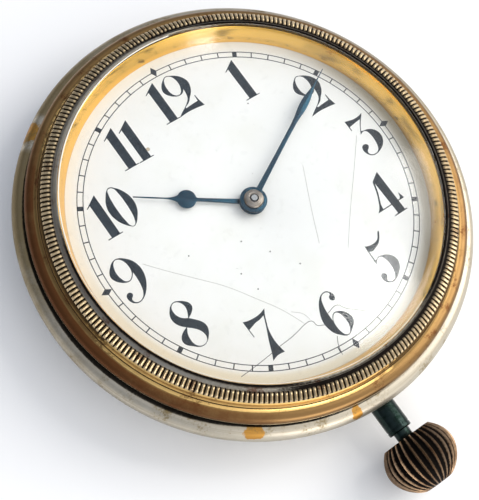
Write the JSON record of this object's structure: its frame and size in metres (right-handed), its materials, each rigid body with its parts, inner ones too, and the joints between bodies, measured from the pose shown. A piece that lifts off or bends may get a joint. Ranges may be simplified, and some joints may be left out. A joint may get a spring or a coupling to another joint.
{
  "type": "travel clock",
  "caption": "Round wind-up travel clock that lies on its back, with a milled screw bezel, white enamel dial, blued hands and a fluted winding crown on a long stem.",
  "frame": {"origin": "the middle of the flat back that the clock lies on", "axes": "+Z out of the dial, +Y towards 12 o'clock, +X towards 3 o'clock; the crown stands out along -Y"},
  "size_m": [0.0804, 0.0958, 0.0207],
  "materials": {
    "blued_steel": "heat blued steel",
    "brass": "aged brass with a brown patina",
    "bronze": "dark bronze patina",
    "dark_steel": "dark oiled steel",
    "enamel": "glossy white enamel",
    "gilt": "polished gilt",
    "glass": "clear polished glass",
    "grey_cap": "tarnished steel",
    "nickel": "worn nickel plate",
    "steel": "fine ground steel"
  },
  "bodies": {
    "case": {"back_cover": "nickel", "balance_cock": "brass", "balance_cock_screw": "blued_steel", "barrel_bridge": "brass", "barrel_bridge_screw_1": "blued_steel", "barrel_bridge_screw_2": "blued_steel", "case_band": "nickel", "case_screw_1": "blued_steel", "case_screw_2": "blued_steel", "click_screw": "blued_steel", "click_spring": "steel", "crown_wheel_post": "blued_steel", "dial": "enamel", "hairspring": "blued_steel", "hairspring_stud": "steel", "main_plate": "brass", "pallet_cock": "brass", "pallet_cock_screw": "blued_steel", "setting_lever_screw": "blued_steel", "stem_sleeve": "dark_steel", "train_bridge": "brass", "train_bridge_screw_1": "blued_steel", "train_bridge_screw_2": "blued_steel"},
    "milled_bezel": {"milled_bezel": "brass"},
    "glass_and_reflector": {"watch_glass": "glass", "reflector_ring": "gilt"},
    "minute_hand": {"minute_hand": "blued_steel", "cannon_pinion": "grey_cap"},
    "hour_hand": {"hour_hand": "blued_steel", "hour_wheel": "brass"},
    "minute_wheel": {"minute_wheel": "brass"},
    "setting_arbor": {"setting_wheel": "steel", "setting_pinion": "steel"},
    "barrel": {"barrel_drum": "brass", "barrel_cover": "brass", "mainspring": "steel"},
    "intermediate": {"intermediate_wheel": "brass", "intermediate_pinion": "steel"},
    "centre": {"centre_wheel": "brass", "centre_arbor": "steel"},
    "third": {"third_wheel": "brass", "third_pinion": "steel"},
    "fourth": {"fourth_wheel": "brass", "fourth_pinion": "steel"},
    "escape": {"escape_wheel": "steel", "escape_pinion": "steel"},
    "pallet_fork": {"pallet_fork": "steel"},
    "balance": {"balance_wheel": "brass", "balance_staff": "steel"},
    "regulator": {"regulator": "steel"},
    "winding_stem": {"winding_stem": "dark_steel"},
    "crown": {"crown": "bronze"},
    "winding_pinion": {"winding_pinion": "steel"},
    "crown_wheel": {"crown_wheel": "steel"},
    "ratchet": {"ratchet_wheel": "steel", "ratchet_screw": "blued_steel", "barrel_arbor": "steel"},
    "click": {"click": "steel"},
    "setting_lever": {"setting_lever": "steel"},
    "sliding_pinion": {"sliding_pinion": "steel"}
  },
  "joints": [
    {"name": "minute_hand_turn", "type": "hinge", "parent": "case", "child": "minute_hand", "pos_m": [0, 0, 0.0161], "axis": [0, 0, -1], "continuous": true},
    {"name": "hour_hand_turn", "type": "hinge", "parent": "case", "child": "hour_hand", "pos_m": [0, 0, 0.01515], "axis": [0, 0, -1], "continuous": true},
    {"name": "minute_wheel_turn", "type": "hinge", "parent": "case", "child": "minute_wheel", "pos_m": [0.0015, -0.00506, 0], "axis": [0, 0, -1], "continuous": true},
    {"name": "setting_arbor_turn", "type": "hinge", "parent": "case", "child": "setting_arbor", "pos_m": [0, -0.0104, 0], "axis": [0, 0, -1], "continuous": true},
    {"name": "fourth_wheel_turn", "type": "hinge", "parent": "case", "child": "fourth", "pos_m": [0.01005, -0.00322, 0], "axis": [0, 0, -1], "continuous": true},
    {"name": "barrel_turn", "type": "hinge", "parent": "case", "child": "barrel", "pos_m": [-0.01721, -0.00593, 0], "axis": [0, 0, -1], "continuous": true},
    {"name": "intermediate_wheel_turn", "type": "hinge", "parent": "case", "child": "intermediate", "pos_m": [-0.00758, 0.00325, 0], "axis": [0, 0, -1], "continuous": true},
    {"name": "centre_wheel_turn", "type": "hinge", "parent": "case", "child": "centre", "pos_m": [0, 0, 0.0092], "axis": [0, 0, -1], "continuous": true},
    {"name": "third_wheel_turn", "type": "hinge", "parent": "case", "child": "third", "pos_m": [0.00624, 0.00133, 0], "axis": [0, 0, -1], "continuous": true},
    {"name": "escape_wheel_turn", "type": "hinge", "parent": "case", "child": "escape", "pos_m": [0.01367, 0.00079, 0], "axis": [0, 0, -1], "continuous": true},
    {"name": "pallet_fork_rock", "type": "hinge", "parent": "case", "child": "pallet_fork", "pos_m": [0.01509, 0.00432, 0], "axis": [0, 0, 1], "range_deg": [-4, 4]},
    {"name": "balance_swing", "type": "hinge", "parent": "case", "child": "balance", "pos_m": [0.01693, 0.00886, 0], "axis": [0, 0, 1], "range_deg": [-220, 220], "stiffness_Nm_per_rad": 0.000002},
    {"name": "regulator_swing", "type": "hinge", "parent": "case", "child": "regulator", "pos_m": [0.01693, 0.00886, 0], "axis": [0, 0, 1], "range_deg": [-20, 20]},
    {"name": "crown_turn", "type": "hinge", "parent": "winding_stem", "child": "crown", "pos_m": [0, -0.0513, 0.00725], "axis": [0, 1, 0], "continuous": true},
    {"name": "winding_pinion_turn", "type": "hinge", "parent": "case", "child": "winding_pinion", "pos_m": [0, -0.02, 0.00725], "axis": [0, 1, 0], "continuous": true},
    {"name": "crown_wheel_turn", "type": "hinge", "parent": "case", "child": "crown_wheel", "pos_m": [0, -0.0112, 0], "axis": [0, 0, 1], "continuous": true},
    {"name": "ratchet_wheel_turn", "type": "hinge", "parent": "case", "child": "ratchet", "pos_m": [-0.01721, -0.00593, 0], "axis": [0, 0, 1], "continuous": true},
    {"name": "click_lift", "type": "hinge", "parent": "case", "child": "click", "pos_m": [-0.0138, 0.00678, 0], "axis": [0, 0, -1], "range_deg": [0, 12], "stiffness_Nm_per_rad": 0.0001},
    {"name": "stem_pull", "type": "slide", "parent": "case", "child": "winding_stem", "axis": [0, -1, 0], "range_m": [0, 0.0012]},
    {"name": "setting_lever_swing", "type": "hinge", "parent": "case", "child": "setting_lever", "pos_m": [0.006, -0.0268, 0], "axis": [0, 0, 1], "range_deg": [0, 11.5]},
    {"name": "sliding_pinion_slide", "type": "slide", "parent": "case", "child": "sliding_pinion", "axis": [0, 1, 0], "range_m": [0, 0.0012]},
    {"name": "glass_rise", "type": "slide", "parent": "case", "child": "glass_and_reflector", "axis": [0, 0, 1], "range_m": [0, 0.00101]},
    {"name": "bezel_unscrew", "type": "hinge", "parent": "glass_and_reflector", "child": "milled_bezel", "pos_m": [0, 0, 0.01375], "axis": [0, 0, 1], "range_deg": [0, 720]}
  ],
  "couplings": [
    {"joint": "hour_hand_turn", "follows": "minute_hand_turn", "ratio": 0.083333},
    {"joint": "minute_wheel_turn", "follows": "minute_hand_turn", "ratio": -0.33333},
    {"joint": "setting_arbor_turn", "follows": "minute_hand_turn", "ratio": 0.83333},
    {"joint": "escape_wheel_turn", "follows": "fourth_wheel_turn", "ratio": -8},
    {"joint": "third_wheel_turn", "follows": "fourth_wheel_turn", "ratio": -0.125},
    {"joint": "centre_wheel_turn", "follows": "fourth_wheel_turn", "ratio": 0.016667},
    {"joint": "intermediate_wheel_turn", "follows": "fourth_wheel_turn", "ratio": -0.0041667},
    {"joint": "barrel_turn", "follows": "fourth_wheel_turn", "ratio": 0.00069444},
    {"joint": "winding_pinion_turn", "follows": "crown_turn", "ratio": 1},
    {"joint": "crown_wheel_turn", "follows": "crown_turn", "ratio": -0.375},
    {"joint": "ratchet_wheel_turn", "follows": "crown_turn", "ratio": 0.3},
    {"joint": "setting_lever_swing", "follows": "stem_pull", "rad_per_m": 166},
    {"joint": "sliding_pinion_slide", "follows": "stem_pull", "ratio": 1},
    {"joint": "glass_rise", "follows": "bezel_unscrew", "m_per_rad": 0.000079577}
  ]
}
